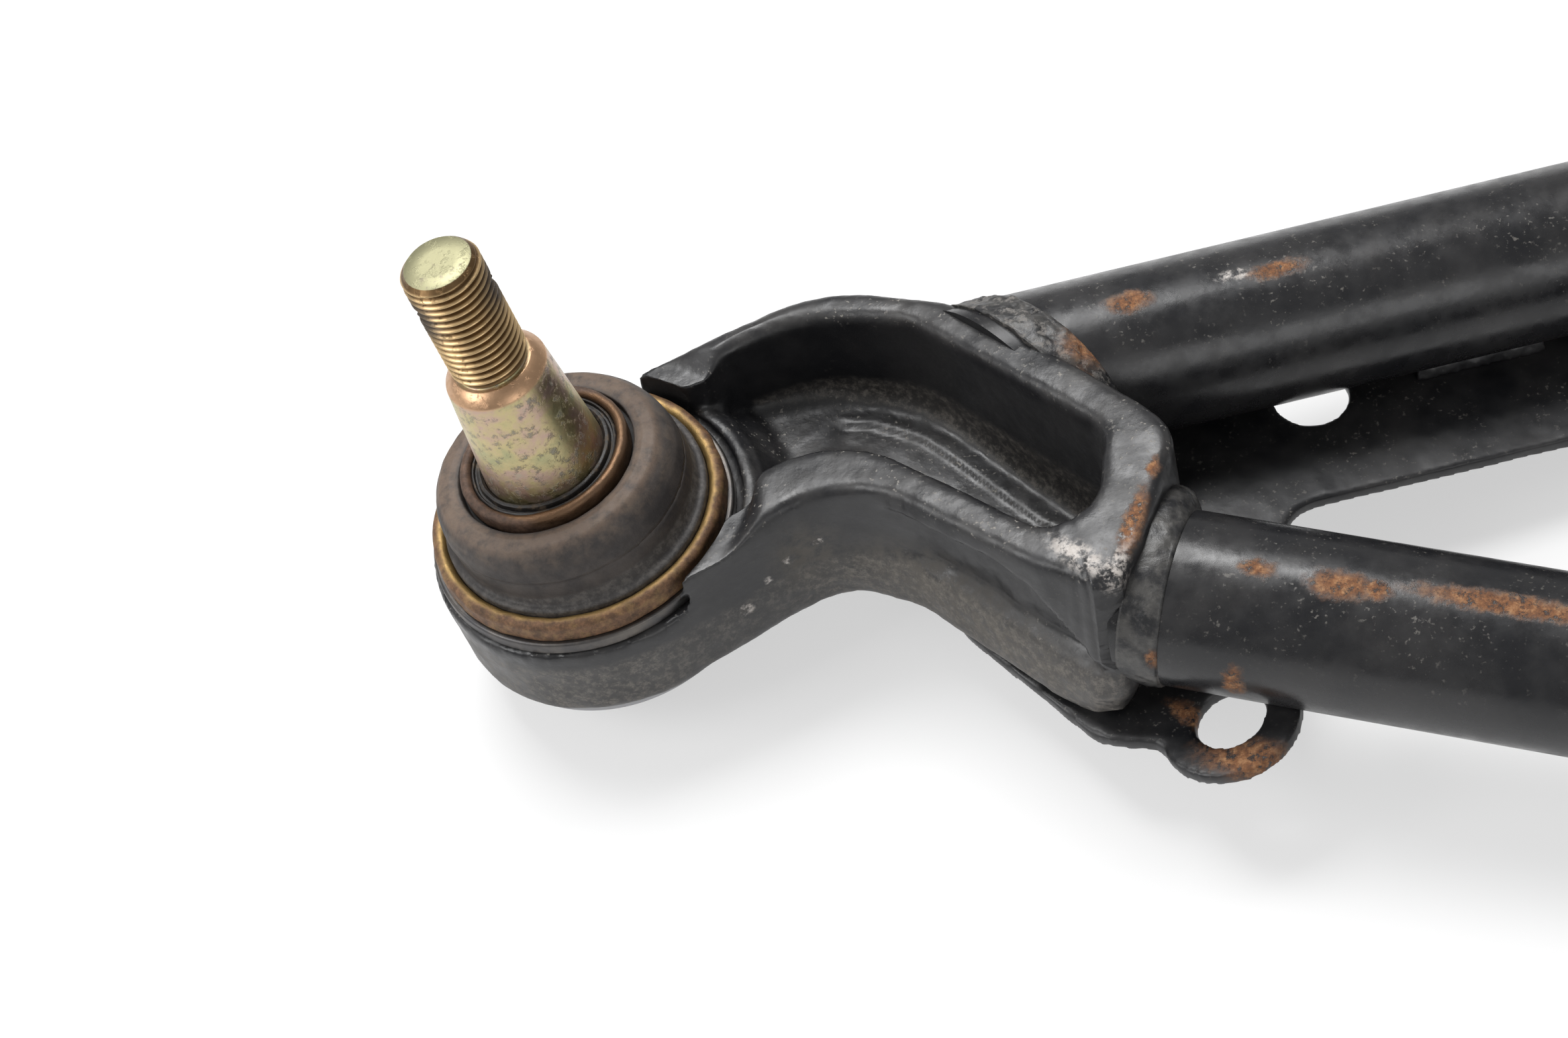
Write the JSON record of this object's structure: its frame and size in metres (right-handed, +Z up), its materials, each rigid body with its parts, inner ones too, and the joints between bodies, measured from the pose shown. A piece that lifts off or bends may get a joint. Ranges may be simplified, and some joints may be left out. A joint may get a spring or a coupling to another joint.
{
  "type": "suspension a-arm",
  "caption": "Tubular steel wishbone with a forged dog-leg end, a pressed-in ball joint with a tapered stud, a folded guard plate and bushed pivots.",
  "frame": {"origin": "centre of the front pivot's bolt bore", "axes": "+Y along the pivot axis to the rear pivot, +X inboard from the ball joint to the pivot axis, +Z up, the side that the stud points to"},
  "size_m": [0.3377, 0.2054, 0.0856],
  "materials": {
    "black_paint": "worn semi-gloss",
    "phosphated_steel": "matt phosphate",
    "zinc_steel": "yellow zinc",
    "ring_steel": "rusty brown",
    "spring_steel": "oiled",
    "bearing_plastic": "smooth",
    "boot_rubber": "dusty",
    "collar_steel": "clear zinc",
    "bushing_plastic": "smooth",
    "cap_plastic": "matt"
  },
  "bodies": {
    "arm": {"ball_joint_housing": "phosphated_steel", "boot_retaining_ring": "zinc_steel", "bottom_cap": "phosphated_steel", "circlip": "spring_steel", "end_forging": "black_paint", "front_forging_weld": "black_paint", "front_inner_bushing": "bushing_plastic", "front_outer_bushing": "bushing_plastic", "front_pivot_housing": "black_paint", "front_pivot_weld": "black_paint", "front_tube": "black_paint", "guard_plate": "black_paint", "lower_bearing_race": "bearing_plastic", "plate_weld_beads": "black_paint", "preload_spring": "spring_steel", "rear_forging_weld": "black_paint", "rear_inner_bushing": "bushing_plastic", "rear_outer_bushing": "bushing_plastic", "rear_pivot_housing": "black_paint", "rear_pivot_weld": "black_paint", "rear_tube": "black_paint", "upper_bearing_race": "bearing_plastic"},
    "boot_body": {"boot": "boot_rubber"},
    "boot_top": {"boot_upper_ring": "ring_steel", "dust_lip": "boot_rubber"},
    "stud": {"ball_stud": "zinc_steel"},
    "front_collar": {"front_pivot_collar": "collar_steel", "front_inner_dust_cap": "cap_plastic", "front_outer_dust_cap": "cap_plastic"},
    "rear_collar": {"rear_pivot_collar": "collar_steel", "rear_inner_dust_cap": "cap_plastic", "rear_outer_dust_cap": "cap_plastic"}
  },
  "joints": [
    {"name": "stud_tilt_along", "type": "hinge", "parent": "arm", "child": "boot_body", "pos_m": [-0.2955, 0.077, -0.0191], "axis": [0.9925, 0, 0.1219], "range_deg": [-15.8, 20.2], "deforming": ["boot"]},
    {"name": "stud_tilt_across", "type": "hinge", "parent": "boot_body", "child": "boot_top", "pos_m": [-0.2955, 0.077, -0.0191], "axis": [0.0047, 0.9993, -0.0381], "range_deg": [-14, 22], "deforming": ["boot"]},
    {"name": "stud_spin", "type": "hinge", "parent": "boot_top", "child": "stud", "pos_m": [-0.2955, 0.077, -0.0191], "axis": [-0.1907, 0.0383, 0.9809], "continuous": true},
    {"name": "front_pivot_spin", "type": "hinge", "parent": "arm", "child": "front_collar", "pos_m": [0, 0, 0], "axis": [0, 1, 0], "continuous": true},
    {"name": "rear_pivot_spin", "type": "hinge", "parent": "arm", "child": "rear_collar", "pos_m": [0, 0.154, 0], "axis": [0, 1, 0], "continuous": true}
  ]
}
